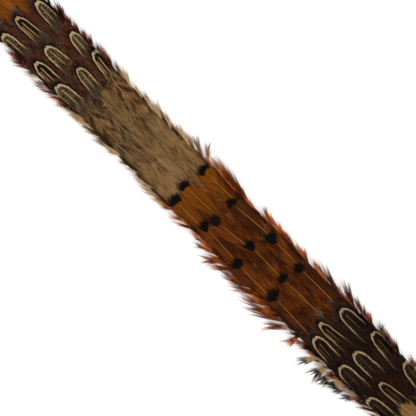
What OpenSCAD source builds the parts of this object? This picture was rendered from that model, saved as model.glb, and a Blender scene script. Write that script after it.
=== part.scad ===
// Quill pen with a flat plume dressed in courses of small body feathers.
// The pen lies along X with its nib at -X and the plume's tip at +X, at rest on z = 0.
// The origin is on the resting plane, under the middle of the pen's length.

/* [Nib] */
// Length of the nib from its heel to its point
nib_length = 35; // [30:0.5:42]
// Length of nib that stands out of the ferrule
nib_exposed = 22; // [16:0.5:26]
// Outer radius of the nib's curved shell
nib_r = 3.5; // [2.9:0.1:4.2]
// Thickness of the nib's steel
nib_wall = 0.3; // [0.2:0.05:0.4]
// Length of the nib's taper from its shoulders to its point
nib_taper = 15; // [10:0.5:16]
// Width of the nib's point
nib_point_w = 0.7; // [0.4:0.1:1.2]
// Width of the slit between the tines
slit_w = 0.12; // [0.08:0.01:0.2]
// Radius of the breather hole
breather_r = 0.65; // [0.4:0.05:0.9]

/* [Ferrule] */
// Length of the ferrule from its mouth to its shoulder
ferrule_length = 20; // [17:0.5:28]
// Thickness of the ferrule's wall at its mouth
ferrule_wall = 0.5; // [0.4:0.05:0.8]
// How far the ferrule's shoulder stands out past its mouth
shoulder_flare = 0.46; // [0.3:0.02:0.7]
// Radius of the screw stub
stub_r = 2.2; // [1.8:0.1:2.6]
// Length of the screw stub behind the ferrule's shoulder
stub_length = 10; // [7:0.5:14]
// Thickness of the leather washer
washer_t = 1; // [0.6:0.1:2]

/* [Grip] */
// Length of the wooden grip
grip_length = 42; // [36:1:70]
// Radius of the grip's straight barrel
barrel_r = 4.7; // [4.6:0.1:5.2]
// Length of the grip's straight barrel
barrel_length = 16; // [10:1:20]
// Radius of the grip's waist
waist_r = 3.9; // [3.8:0.1:4.4]
// Thickness of the brass bush in the grip's front
bush_wall = 0.6; // [0.4:0.05:0.9]
// Length of the brass collar behind the grip
collar_length = 5; // [3:0.5:9]
// Radius of the brass collar
collar_r = 4.9; // [4.7:0.1:5.4]

/* [Plume core] */
// Radius of the shaft that carries the plume
shaft_r = 1.7; // [1.2:0.1:2.2]
// Depth of the shaft's seat in the grip
shaft_seat = 14; // [8:1:20]
// Thickness of one felt strip in the middle
felt_t = 3.2; // [2.8:0.1:4]
// Width of the flat middle of the plume, which is one column of feathers
column_w = 7.8; // [6.5:0.1:10]
// Width of the sloping column on each side of the middle
side_w = 6.6; // [5:0.1:8]
// Slope of the side columns, in degrees
side_slope = 14; // [8:1:18]
// Radius of the felt at the plume's neck
neck_r = 4.1; // [3.8:0.1:4.6]
// Thickness of the thread wound round the neck
thread_wall = 0.7; // [0.4:0.1:0.9]
// Length of the winding round the neck
winding_length = 8; // [5:0.5:14]
// Length over which the felt widens behind the neck
flare_length = 14; // [8:1:20]

/* [Feathers] */
// Distance from one course of feathers to the next
course_pitch = 17.2; // [14:0.1:20.4]
// Length of one feather
feather_length = 26; // [22:0.5:30]
// Thickness of one feather with its barbs
feather_t = 0.6; // [0.4:0.05:0.8]
// Width of a feather where it is tied down
feather_base_w = 3; // [2:0.1:4]
// Gap kept between feathers that lie side by side
feather_gap = 0.3; // [0.2:0.05:0.6]
// Gap kept between feathers that lie on each other
lay_gap = 0.12; // [0.08:0.01:0.2]

/* [Fits] */
// Clearance of the nib in the ferrule and on its core
nib_clear = 0.04; // [0.02:0.01:0.05]
// Clearance of the screw stub in its bush
thread_clear = 0.05; // [0.02:0.01:0.08]
// Glue line between pieces that are bonded
glue = 0.05; // [0.02:0.01:0.1]

/* [Hidden] */
$fn = 64;
eps = 0.01;
// How far a cut runs on past the face that it opens
over = 1;

// The courses from the grip to the tip: name, colour, share of the side columns' width
COURSES = [
  ["buff_course_1", "tan", 1],
  ["window_course_1", "saddlebrown", 1],
  ["window_course_2", "saddlebrown", 1],
  ["window_course_3", "saddlebrown", 1],
  ["copper_course_1", "chocolate", 1],
  ["copper_course_2", "chocolate", 1],
  ["copper_course_3", "chocolate", 1],
  ["copper_course_4", "chocolate", 1],
  ["buff_course_2", "tan", 1],
  ["buff_course_3", "tan", 1],
  ["buff_course_4", "tan", 1],
  ["window_course_4", "saddlebrown", 1],
  ["window_course_5", "saddlebrown", 1],
  ["window_course_6", "saddlebrown", 1],
  ["copper_course_5", "chocolate", 0.8],
  ["tip_tuft", "sienna", 0.5]
];
last_course = len(COURSES) - 1;

// Feathers are tilted just enough to pass over the base of the next course
lay_angle = asin((feather_t + lay_gap) / course_pitch);

// Stations along the pen, counted from the nib's point
ferrule_at = nib_exposed;
nib_inside = nib_length - nib_exposed;
shoulder_at = ferrule_at + ferrule_length;
grip_at = shoulder_at + washer_t;
collar_at = grip_at + grip_length;
neck_at = collar_at + collar_length;
flare_at = neck_at + winding_length + 2 * feather_gap;
first_course_at = flare_at;
plume_end = first_course_at + last_course * course_pitch + feather_length * cos(lay_angle);
pen_length = plume_end;

// The nib's outline: the tines widen in two steps, as shares of the taper and of the half width
tine_shares = [[0.55, 0.42], [0.85, 0.86]];
nib_edge_trim = 0.02;
nib_rise = 0.4;

// The core: its inset in the ferrule, its seat, and the walls and floors of its fingers
core_inset = 1;
heel_gap = 0.3;
seat_t = 1.2;
finger_wall = 0.9;
finger_slot = 0.6;
bore_floor = 3;
slot_floor = 4;

// The ferrule: where its cone starts and ends, its solid floor, and its beads
cone_from = 0.55;
cone_to = 0.85;
socket_floor = 1;
bead_r = 0.5;
bead_sink = 0.15;
bead_at = 1.2;
chamfer = 0.4;

// The washer and the stub's bore
washer_inset = 0.1;
washer_play = 0.3;
stub_end_gap = 1;

// The grip's swell and waist, as shares of its length
swell_inset = 0.1;
swell_share = 0.24;
waist_share = 0.44;

// The ends of the plume's core
whip_gap = 0.2;
tip_thread_wall = 0.5;
tip_winding = 6;
shaft_nose = 2;
felt_tail = feather_length / 3;

// A feather is widest from this share of its length, and one round the edge reaches this far
widest_share = 0.35;
edge_reach = 78;
edge_tip_play = 0.5;

// Radii and seats that follow from the fits
socket_r = nib_r + nib_clear;
core_r = nib_r - nib_wall - nib_clear;
mouth_r = socket_r + ferrule_wall;
shoulder_r = mouth_r + shoulder_flare;
washer_r = shoulder_r - washer_inset;
socket_depth = nib_inside + heel_gap + seat_t + glue;
bush_bore_r = stub_r + thread_clear;
bush_r = bush_bore_r + bush_wall;
bush_length = stub_length + stub_end_gap;
washer_bore_r = stub_r + washer_play;
stub_seat = ferrule_length - socket_depth - socket_floor;

// Heights of the plume above and below the pen's axis
feather_rise = feather_length * sin(lay_angle) + feather_t * cos(lay_angle);
plume_half = felt_t + lay_gap + feather_rise;
axis_z = max(plume_half, collar_r, barrel_r, shoulder_r);

// The felt's section: a flat middle, two slopes, and a round edge at the end of each slope
function edge_y(share) = column_w / 2 + side_w * share * cos(side_slope);
function edge_r(share) = felt_t - side_w * share * sin(side_slope);

// Where the felt narrows to its tip
tip_share = COURSES[last_course][2];
taper_at = first_course_at + (last_course - 2) * course_pitch + feather_length / 2;
taper_to = first_course_at + (last_course - 1) * course_pitch - lay_gap;
felt_end = first_course_at + last_course * course_pitch + felt_tail;

// Puts a shape that was made along +Z from its own start onto the pen's axis
module on_axis(from_point) {
  translate([from_point - pen_length / 2, 0, axis_z]) rotate([0, 90, 0]) children();
}

// A plain tube or disc along +Z
module tube(outer_r, inner_r, length) {
  difference() {
    cylinder(r = outer_r, h = length);
    translate([0, 0, -over]) cylinder(r = inner_r, h = length + 2 * over);
  }
}

// One side of the nib's flat outline, from its point at x = 0 to its heel
function nib_side(half_w) = concat(
  [[0, nib_point_w / 2]],
  [for (t = tine_shares) [nib_taper * t[0], half_w * t[1]]],
  [[nib_taper, half_w], [nib_length, half_w]]
);

module nib_outline() {
  side = nib_side(nib_r - nib_edge_trim);
  last = len(side) - 1;
  difference() {
    polygon(concat(
      [for (p = side) [p[0], -p[1]]],
      [for (i = [0:last]) side[last - i]]
    ));
    translate([-over, -slit_w / 2]) square([nib_taper + over, slit_w]);
    translate([nib_taper, 0]) circle(r = breather_r);
  }
}

module nib() {
  color("lightsteelblue") intersection() {
    on_axis(0) tube(nib_r, nib_r - nib_wall, nib_length);
    translate([-pen_length / 2, 0, axis_z + nib_rise]) linear_extrude(height = nib_r)
      nib_outline();
  }
}

// A slotted plug: the nib's heel slides between its fingers and the ferrule's wall
module nib_core() {
  color("darkgoldenrod") on_axis(ferrule_at + core_inset) difference() {
    union() {
      cylinder(r = core_r, h = nib_inside);
      translate([0, 0, nib_inside - core_inset + heel_gap])
        cylinder(r = socket_r - glue, h = seat_t);
    }
    translate([0, 0, -over])
      cylinder(r = core_r - finger_wall, h = nib_inside - bore_floor + over);
    for (turn = [0, 90]) rotate([0, 0, turn]) translate([-nib_r, -finger_slot / 2, -over])
      cube([2 * nib_r, finger_slot, nib_inside - slot_floor + over]);
  }
}

module ferrule() {
  color("gold") on_axis(ferrule_at) rotate_extrude() difference() {
    union() {
      polygon([
        [0, 0],
        [mouth_r, 0],
        [mouth_r, ferrule_length * cone_from],
        [shoulder_r, ferrule_length * cone_to],
        [shoulder_r, ferrule_length],
        [0, ferrule_length]
      ]);
      for (along = [bead_at, ferrule_length * cone_from])
        translate([mouth_r - bead_sink, along]) circle(r = bead_r);
    }
    translate([0, -over]) square([socket_r, socket_depth + over]);
    translate([0, ferrule_length - stub_seat]) square([stub_r + glue, stub_seat + over]);
  }
}

module screw_stub() {
  color("darkgoldenrod") on_axis(shoulder_at - stub_seat + glue) union() {
    cylinder(r = stub_r, h = stub_seat + stub_length - glue - chamfer);
    translate([0, 0, stub_seat + stub_length - glue - chamfer])
      cylinder(r1 = stub_r, r2 = stub_r - chamfer, h = chamfer);
  }
}

module washer() {
  color("sienna") on_axis(shoulder_at + glue)
    tube(washer_r, washer_bore_r, washer_t - 2 * glue);
}

module thread_bush() {
  color("goldenrod") on_axis(grip_at) tube(bush_r, bush_bore_r, bush_length);
}

// The grip's outline: a finger swell, a waist, and a straight barrel up to the collar
module grip() {
  swell_r = barrel_r - swell_inset;
  swell_at = grip_length * swell_share;
  waist_at = grip_length * waist_share;
  barrel_at = grip_length - barrel_length;
  steps = 24;
  function swell(t) = t < swell_at
    ? washer_r + (swell_r - washer_r) * sin(90 * t / swell_at)
    : t < waist_at
      ? waist_r + (swell_r - waist_r) * (1 + cos(180 * (t - swell_at) / (waist_at - swell_at))) / 2
      : waist_r + (barrel_r - waist_r) * (1 - cos(180 * (t - waist_at) / (barrel_at - waist_at))) / 2;
  color("saddlebrown") on_axis(grip_at) difference() {
    rotate_extrude() polygon(concat(
      [[0, 0]],
      [for (i = [0:steps]) [swell(barrel_at * i / steps), barrel_at * i / steps]],
      [[barrel_r, grip_length], [0, grip_length]]
    ));
    translate([0, 0, -over]) cylinder(r = bush_r + glue, h = bush_length + glue + over);
    translate([0, 0, grip_length - shaft_seat])
      cylinder(r = shaft_r + glue, h = shaft_seat + over);
  }
}

module rear_collar() {
  color("gold") on_axis(collar_at + glue) rotate_extrude() difference() {
    union() {
      square([collar_r - bead_r, collar_length - 2 * glue]);
      for (along = [bead_r, collar_length / 2 - glue, collar_length - bead_r - 2 * glue])
        translate([collar_r - bead_r, along]) circle(r = bead_r);
    }
    translate([0, -over]) square([shaft_r + glue, collar_length + 2 * over]);
  }
}

module shaft() {
  color("wheat") on_axis(collar_at - shaft_seat + 2 * glue)
    cylinder(r = shaft_r, h = felt_end + tip_winding + shaft_nose - collar_at + shaft_seat);
}

// The felt's cross-section across the pen, with the shaft's groove cut out
module felt_section() {
  difference() {
    union() {
      polygon([
        [-edge_y(1), -edge_r(1)],
        [-column_w / 2, -felt_t],
        [column_w / 2, -felt_t],
        [edge_y(1), -edge_r(1)],
        [edge_y(1), edge_r(1)],
        [column_w / 2, felt_t],
        [-column_w / 2, felt_t],
        [-edge_y(1), edge_r(1)]
      ]);
      for (side = [-1, 1]) translate([side * edge_y(1), 0]) circle(r = edge_r(1));
    }
    circle(r = shaft_r + glue);
  }
}

// The felt's outline seen from above: neck, flare, full width, and the taper to the tip
module felt_outline() {
  full = edge_y(1) + edge_r(1) + over;
  tip = column_w / 2 + side_w * tip_share / 2;
  near_tip = edge_y(COURSES[last_course - 1][2]);
  polygon([
    [neck_at + glue, -neck_r],
    [flare_at, -neck_r],
    [flare_at + flare_length, -full],
    [taper_at, -full],
    [taper_to, -near_tip],
    [felt_end - felt_tail, -tip],
    [felt_end, -column_w / 3],
    [felt_end, column_w / 3],
    [felt_end - felt_tail, tip],
    [taper_to, near_tip],
    [taper_at, full],
    [flare_at + flare_length, full],
    [flare_at, neck_r],
    [neck_at + glue, neck_r]
  ]);
}

// One felt strip: side = 1 is above the shaft, side = -1 is below it
module felt_strip(side) {
  intersection() {
    on_axis(neck_at + glue) rotate([0, 0, 90]) linear_extrude(height = felt_end - neck_at - glue)
      felt_section();
    translate([-pen_length / 2, 0, axis_z + (side > 0 ? glue : -felt_t - glue)])
      linear_extrude(height = felt_t) felt_outline();
    union() {
      on_axis(neck_at) cylinder(r = neck_r, h = flare_at - neck_at + eps);
      on_axis(flare_at) cylinder(r = 4 * edge_y(1), h = felt_end - flare_at);
    }
  }
}

module upper_felt() {
  color("dimgray") felt_strip(1);
}

module lower_felt() {
  color("dimgray") felt_strip(-1);
}

// A winding of thread as a row of rounded turns
module winding(inner_r, wall, length) {
  turns = max(3, round(length / wall));
  step = length / turns;
  rotate_extrude() union() {
    translate([inner_r, 0]) square([wall / 2, length]);
    for (i = [0:turns - 1]) translate([inner_r + wall / 2, (i + 0.5) * step])
      circle(r = step / 2 - eps);
  }
}

module base_whipping() {
  color("maroon") on_axis(neck_at + whip_gap) winding(neck_r + glue, thread_wall, winding_length);
}

module tip_whipping() {
  color("maroon") on_axis(felt_end + whip_gap)
    winding(shaft_r + glue, tip_thread_wall, tip_winding);
}

// A feather's outline: narrow where it is tied down, with a round tip
module feather_outline(width) {
  tip_r = width / 2;
  union() {
    polygon([
      [0, -feather_base_w / 2],
      [feather_length * widest_share, -tip_r],
      [feather_length - tip_r, -tip_r],
      [feather_length - tip_r, tip_r],
      [feather_length * widest_share, tip_r],
      [0, feather_base_w / 2]
    ]);
    translate([feather_length - tip_r, 0]) circle(r = tip_r);
  }
}

// A flat feather that starts at the origin and rises along +X
module flat_feather(width) {
  rotate([0, -lay_angle, 0]) linear_extrude(height = feather_t) feather_outline(width);
}

// A feather that curls round the plume's edge, about an axis along +Z, open towards -X
module edge_feather(inner_r) {
  run = feather_length * cos(lay_angle);
  rise = feather_length * sin(lay_angle);
  wall = feather_t * cos(lay_angle);
  half_w = inner_r + rise;
  intersection() {
    rotate([0, 0, -edge_reach]) rotate_extrude(angle = 2 * edge_reach) polygon([
      [inner_r, 0],
      [inner_r + wall, 0],
      [inner_r + rise + wall, run],
      [inner_r + rise, run]
    ]);
    rotate([90, 0, 90]) linear_extrude(height = half_w + 2 * over) union() {
      translate([-half_w - over, 0]) square([2 * (half_w + over), run - half_w]);
      translate([0, run - half_w]) circle(r = half_w + edge_tip_play);
    }
  }
}

// The three feathers on one face of a course
module face_of_course(share) {
  flat_w = column_w - feather_gap;
  side = side_w * share;
  translate([0, 0, felt_t + lay_gap]) flat_feather(flat_w);
  for (turn = [-1, 1]) {
    translate([0, turn * column_w / 2, felt_t + lay_gap]) rotate([-turn * side_slope, 0, 0])
      translate([0, turn * (side / 2 + feather_gap / 4), 0]) flat_feather(side - feather_gap);
  }
}

// One ring of feathers: three above, three below, and one round each edge
module feather_course(i) {
  share = COURSES[i][2];
  color(COURSES[i][1])
    translate([first_course_at + i * course_pitch - pen_length / 2, 0, axis_z]) {
      face_of_course(share);
      mirror([0, 0, 1]) face_of_course(share);
      for (turn = [0, 180]) rotate([turn, 0, 0]) translate([0, edge_y(share), 0])
        rotate([0, 90, 0]) rotate([0, 0, 90]) edge_feather(edge_r(share) + lay_gap);
    }
}

nib();
nib_core();
ferrule();
screw_stub();
washer();
thread_bush();
grip();
rear_collar();
shaft();
upper_felt();
lower_felt();
base_whipping();
tip_whipping();
for (i = [0:last_course]) {
  feather_course(i);
}
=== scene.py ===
# %% [markdown]
# # A quill pen with a dressed plume
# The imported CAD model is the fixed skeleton. This lesson puts the finish on it: hundreds of
# small feathers built barb by barb, turned brass, oiled walnut, waxed thread and a steel nib.

# %% Load the frame
import bisect
import math
import random

import bmesh
import bpy
from mathutils import Matrix, Vector


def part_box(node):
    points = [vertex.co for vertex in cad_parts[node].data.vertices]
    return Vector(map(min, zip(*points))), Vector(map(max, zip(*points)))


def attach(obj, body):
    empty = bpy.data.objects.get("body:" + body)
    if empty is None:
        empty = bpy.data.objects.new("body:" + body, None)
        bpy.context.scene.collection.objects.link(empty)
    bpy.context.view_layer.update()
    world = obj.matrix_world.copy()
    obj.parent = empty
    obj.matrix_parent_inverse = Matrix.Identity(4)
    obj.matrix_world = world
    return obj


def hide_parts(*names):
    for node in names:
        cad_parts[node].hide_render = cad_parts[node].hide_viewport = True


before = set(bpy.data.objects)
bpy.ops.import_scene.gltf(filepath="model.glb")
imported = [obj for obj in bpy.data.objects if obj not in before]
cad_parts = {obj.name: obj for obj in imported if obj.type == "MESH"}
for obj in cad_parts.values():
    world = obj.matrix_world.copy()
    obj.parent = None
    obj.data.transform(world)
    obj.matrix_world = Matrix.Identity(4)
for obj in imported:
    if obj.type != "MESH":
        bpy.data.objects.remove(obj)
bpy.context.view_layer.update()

scene = bpy.context.scene
MM = 0.001
print("frame:", len(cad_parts), "nodes")

# %% [markdown]
# ## Where things are
# Every place is read from the CAD nodes. A course of feathers starts at its node's lowest X and
# its feather tips end at the highest X. The pen's axis runs through the middle of the shaft.

# %% Stations along the pen
RUNS = (("buff", 1, 1), ("window", 1, 3), ("copper", 1, 4), ("buff", 2, 4), ("window", 4, 6),
        ("copper", 5, 5))
COURSES = ["%s_course_%d" % (kind, k) for kind, first, last in RUNS
           for k in range(first, last + 1)] + ["tip_tuft"]
shaft_low, shaft_high = (Vector(c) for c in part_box("shaft"))
AXIS_Z = (shaft_low.z + shaft_high.z) / 2
base_x = {name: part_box(name)[0][0] for name in COURSES}
tip_x = {name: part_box(name)[1][0] for name in COURSES}
FEATHER_L = tip_x[COURSES[0]] - base_x[COURSES[0]]
PITCH = tip_x[COURSES[1]] - tip_x[COURSES[0]]
NECK_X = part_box("base_whipping")[1][0]
FELT_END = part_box("upper_felt")[1][0]
felt_high = Vector(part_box("upper_felt")[1])
FELT_HALF_W = felt_high.y
FELT_T = felt_high.z - AXIS_Z
WAIST_X = base_x["buff_course_3"] + FEATHER_L / 2
print("feather length %.1f mm, pitch %.1f mm" % (FEATHER_L / MM, PITCH / MM))

# %% [markdown]
# ## Camera
# The pen is seen from straight above, lying across the picture from the lower right to the upper
# left. A long lens far away keeps the strip's edges parallel, as a product shot does.

# %% Camera
VIEW_W = 166.4 * MM
CAMERA_UP = 1.5
AIM_PAST_TIP = 5.0 * MM
AIM_SIDE = 1.1 * MM
PICTURE_TURN = math.radians(-135)
aim = Vector((tip_x["copper_course_3"] + AIM_PAST_TIP, AIM_SIDE, AXIS_Z + FELT_T))
camera = bpy.data.objects.new("camera", bpy.data.cameras.new("camera"))
camera.data.sensor_width = 36.0
camera.data.lens = camera.data.sensor_width * CAMERA_UP / VIEW_W
camera.data.clip_end = 10.0
camera.location = aim + Vector((0, 0, CAMERA_UP))
camera.rotation_euler = (0, 0, PICTURE_TURN)
scene.collection.objects.link(camera)
scene.camera = camera
print("lens %.0f mm" % camera.data.lens)

# %% [markdown]
# ## Writing shader maths as Python
# A material is a graph of nodes. Wrapping a socket in a small class lets plain expressions such
# as `1 - mask` add the Math nodes, so that a pattern reads like its formula.


# %% A socket that does arithmetic
def math_node(operation, swap=False):
    """A method that adds one Math node; swap puts the other value first."""
    def method(self, other=None):
        first, second = (other, self) if swap else (self, other)
        values = {0: first} if second is None else {0: first, 1: second}
        return self.mix.node("ShaderNodeMath", {"operation": operation}, values)
    return method


class Wire:
    """One output of a node; arithmetic on it adds Math nodes to the same material."""

    def __init__(self, mix, socket):
        self.mix = mix
        self.socket = socket

    __add__, __radd__ = math_node("ADD"), math_node("ADD", swap=True)
    __sub__, __rsub__ = math_node("SUBTRACT"), math_node("SUBTRACT", swap=True)
    __mul__, __rmul__ = math_node("MULTIPLY"), math_node("MULTIPLY", swap=True)
    __truediv__, __pow__ = math_node("DIVIDE"), math_node("POWER")
    __abs__, high = math_node("ABSOLUTE"), math_node("MAXIMUM")
    part, whole = math_node("FRACT"), math_node("FLOOR")
    wave, root = math_node("SINE"), math_node("SQRT")

    def step(self, start, end):
        """0 before start, 1 after end, smooth between; start may be the larger."""
        settings = {"interpolation_type": "SMOOTHSTEP", "clamp": True}
        if start < end:
            values = {0: self, 1: start, 2: end, 3: 0.0, 4: 1.0}
        else:
            values = {0: self, 1: end, 2: start, 3: 1.0, 4: 0.0}
        return self.mix.node("ShaderNodeMapRange", settings, values)


# %% A material that makes its own nodes
class Finish:
    """A material. node() makes any node; its settings come first, then its sockets."""

    def __init__(self, name):
        self.material = bpy.data.materials.new(name)
        self.material.use_nodes = True
        self.tree = self.material.node_tree
        self.tree.nodes.clear()

    def node(self, kind, settings=None, values=None, out=0):
        made = self.tree.nodes.new(kind)
        for key, value in (settings or {}).items():
            setattr(made, key, value)
        for key, value in (values or {}).items():
            if isinstance(value, Wire):
                self.tree.links.new(value.socket, made.inputs[key])
            else:
                made.inputs[key].default_value = value
        return Wire(self, made.outputs[out])

    def split(self, vector):
        """The three numbers of a vector."""
        made = self.node("ShaderNodeSeparateXYZ", values={0: vector}).socket.node
        return [Wire(self, made.outputs[k]) for k in range(3)]

    def join(self, x, y, z):
        return self.node("ShaderNodeCombineXYZ", values={0: x, 1: y, 2: z})

    def blend(self, share, under, over):
        """Colour under, going over to colour over as share goes to 1."""
        settings = {"data_type": "RGBA", "clamp_factor": True}
        return self.node("ShaderNodeMix", settings, {0: share, 6: under, 7: over}, out=2)

    def noise(self, x, y, z, detail=2.0, rough=0.5, scale=1.0):
        values = {"Vector": self.join(x, y, z), "Scale": scale, "Detail": detail,
                  "Roughness": rough}
        return self.node("ShaderNodeTexNoise", None, values)

    def chance(self, vector):
        """A different even random number for each whole-number cell."""
        return self.node("ShaderNodeTexWhiteNoise", None, {"Vector": vector})

    def bump(self, height, strength, distance):
        values = {"Height": height, "Strength": strength, "Distance": distance}
        return self.node("ShaderNodeBump", None, values)

    def surface(self, **values):
        """The finished surface: sockets are named with _ for each space."""
        named = {key.replace("_", " "): value for key, value in values.items()}
        shader = self.node("ShaderNodeBsdfPrincipled", None, named)
        output = self.tree.nodes.new("ShaderNodeOutputMaterial")
        self.tree.links.new(shader.socket, output.inputs[0])
        return self.material


def tint(red, green, blue):
    """A colour picked on a 0 to 255 screen scale, as the light values that shaders use."""
    def linear(c):
        c = c / 255
        return c / 12.92 if c <= 0.04045 else ((c + 0.055) / 1.055) ** 2.4
    return (linear(red), linear(green), linear(blue), 1.0)


def add_object(name, mesh, material):
    """Turns a bmesh into an object with one material and puts it in the scene."""
    data = bpy.data.meshes.new(name)
    mesh.to_mesh(data)
    mesh.free()
    made = bpy.data.objects.new(name, data)
    scene.collection.objects.link(made)
    data.materials.append(material)
    return made


print("shader and mesh helpers ready")

# %% [markdown]
# ## The body that the feathers lie on
# The felt under the feathers is a flattened tube. A feather is laid by walking a distance round
# its section, so that its width stays true where it bends over the edge. Past a limit the feather
# stops hugging the body and goes straight on, which makes the eaves and the fringe.

# %% Section of the plume
SECTION_W = FELT_HALF_W - 1.7 * MM
SECTION_T = FELT_T + 0.1 * MM
ROUNDNESS = 2.3
SAMPLES = 240
NECK_SHARE, NECK_TAPER = 0.36, 15 * MM
TIP_SHARE, TIP_TAPER, TIP_PAST_FELT = 0.18, 34 * MM, 8 * MM
WAIST_DIP, WAIST_SPREAD = 0.09, 15 * MM
RIPPLE, RIPPLE_STEP = 0.03, 9 * MM
FLAT_TIP, FLAT_TAPER, FLAT_PAST_FELT = 0.45, 26 * MM, 6 * MM
WALK_END = 0.985


def section_at(turn):
    """A point of the body's section, turned from the top towards the edge."""
    side, up = math.sin(turn), math.cos(turn)
    power = 2 / ROUNDNESS
    return Vector((SECTION_W * abs(side) ** power, SECTION_T * abs(up) ** power))


walk = [section_at(math.pi / 2 * k / SAMPLES) for k in range(SAMPLES + 1)]
reach = [0.0]
for one, two in zip(walk, walk[1:]):
    reach.append(reach[-1] + (two - one).length)
QUARTER = reach[-1]


def ease(value):
    """0 up to 0, 1 from 1 on, and smooth between."""
    value = min(1.0, max(0.0, value))
    return value * value * (3 - 2 * value)


def girth(x):
    """How wide the body is at x: about 1 along it, less at the neck, at the waist and the tip."""
    neck = NECK_SHARE + (1 - NECK_SHARE) * ease((x - NECK_X) / NECK_TAPER)
    tip = TIP_SHARE + (1 - TIP_SHARE) * ease((FELT_END + TIP_PAST_FELT - x) / TIP_TAPER)
    waist = 1 - WAIST_DIP * math.exp(-(((x - WAIST_X) / WAIST_SPREAD) ** 2))
    return min(neck, tip) * waist * (1 + RIPPLE * math.sin(x / RIPPLE_STEP))


def thickness(x):
    """How thick the body is at x, as a share of the felts' thickness."""
    neck = ease((x - NECK_X + 4 * MM) / (8 * MM))
    tip = FLAT_TIP + (1 - FLAT_TIP) * ease((FELT_END + FLAT_PAST_FELT - x) / FLAT_TAPER)
    return min(1.0, 0.8 + 0.2 * neck) * tip


def on_body(x, around, height, face):
    """A point on the body: around is walked from the middle of the face (1 top, -1 bottom)."""
    distance = min(abs(around), QUARTER * WALK_END)
    k = max(1, min(SAMPLES, bisect.bisect_left(reach, distance)))
    share = (distance - reach[k - 1]) / (reach[k] - reach[k - 1])
    spot = walk[k - 1].lerp(walk[k], share)
    along = (walk[k] - walk[k - 1]).normalized()
    side = 1 if around >= 0 else -1
    wide, thick = girth(x), thickness(x)
    y = side * (spot.x * wide + along.y * -height)
    z = spot.y * thick + along.x * height
    return Vector((x, y, AXIS_Z + face * z)), Vector((0, side * along.x, face * along.y))


print("walk from the middle to the edge: %.1f mm" % (QUARTER / MM))

# %% [markdown]
# ## One feather
# A feather is a shaft with two rows of barbs. Each row of cells of a grid is one barb, and a
# column of cells is one step along the barbs. Near the shaft neighbouring barbs hook together,
# so their edges stay joined. Further out the edges are split, and groups of barbs gather into
# pointed tufts, which is what makes a feather look soft. Two attributes go with every point: where
# it is on the flat feather, for the pattern, and where it is on its barb, for the fine lines.

# %% Shape of a feather
STEPS = (0.0, 0.2, 0.4, 0.58, 0.73, 0.87, 1.0)
PATTERNED, PLAIN, LOOSE = 0, 1, 2
SAME_SPOT = MM / 10000
# shares of a feather's cell in the bake map: the shaft's strip runs below the barbs
CELL_EDGE, CELL_LENGTH, STRIP = 0.03, 0.94, 0.05
BARBS_MIDDLE, BARBS_HALF = 0.545, 0.425


class Feather:
    """What one feather is like. Lengths are in metres, leans in degrees, the rest are shares."""

    def __init__(self, rng, length=FEATHER_L, width=5.6 * MM, barbs=46, hooked=0.7, gather=0.7,
                 spread=5.0, lean=46.0, bend=0.62, ragged=0.1, camber=0.5 * MM, lift=0.25 * MM,
                 lopside=0.0, shaft=0.2 * MM, stem=0.74, sort=PATTERNED, shade=None):
        self.rng = rng
        self.length = length * rng.uniform(0.96, 1.04)
        self.width = width * rng.uniform(0.95, 1.05)
        self.barbs = barbs
        self.hooked = hooked
        self.gather = gather
        self.lean = math.radians(lean)
        self.bend = bend
        self.camber = camber
        self.lopside = lopside
        self.shaft = shaft
        self.shaft_length = self.length * stem
        self.sort = sort
        self.tone = sort + (rng.random() if shade is None else shade)
        self.tufts = {side: self.group(spread, ragged, lift) for side in (-1, 1)}

    def group(self, spread, ragged, lift):
        """The tuft that each barb belongs to: its middle row, turn, length and lift."""
        rng, rows = self.rng, []
        while len(rows) < self.barbs:
            size = min(rng.choice((1, 2, 2, 3, 3, 4, 6)), self.barbs - len(rows))
            turn = math.radians(rng.gauss(0, spread))
            long = 1 - rng.gauss(0, ragged)
            up = rng.uniform(-0.3, 1) * lift
            rows += [(len(rows) + size / 2, turn, long, up)] * size
        return rows

    def barb(self, side, row, u, turn=0.0, long=1.0):
        """The point at share u along the barb that grows at row, on the flat feather."""
        t = min(1.0, row / self.barbs)
        lean = self.lean * (1 - t ** 4) ** 0.7
        length = self.width * (1 + self.lopside * side) * (0.7 + 4.1 * t - 3.6 * t * t) * long
        curl = max(lean * self.bend, 0.01)
        start = lean + turn * u
        x = length / curl * (math.sin(start) - math.sin(start - curl * u))
        y = length / curl * (math.cos(start - curl * u) - math.cos(start))
        return self.shaft_length * t ** 0.95 + x, side * y


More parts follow.
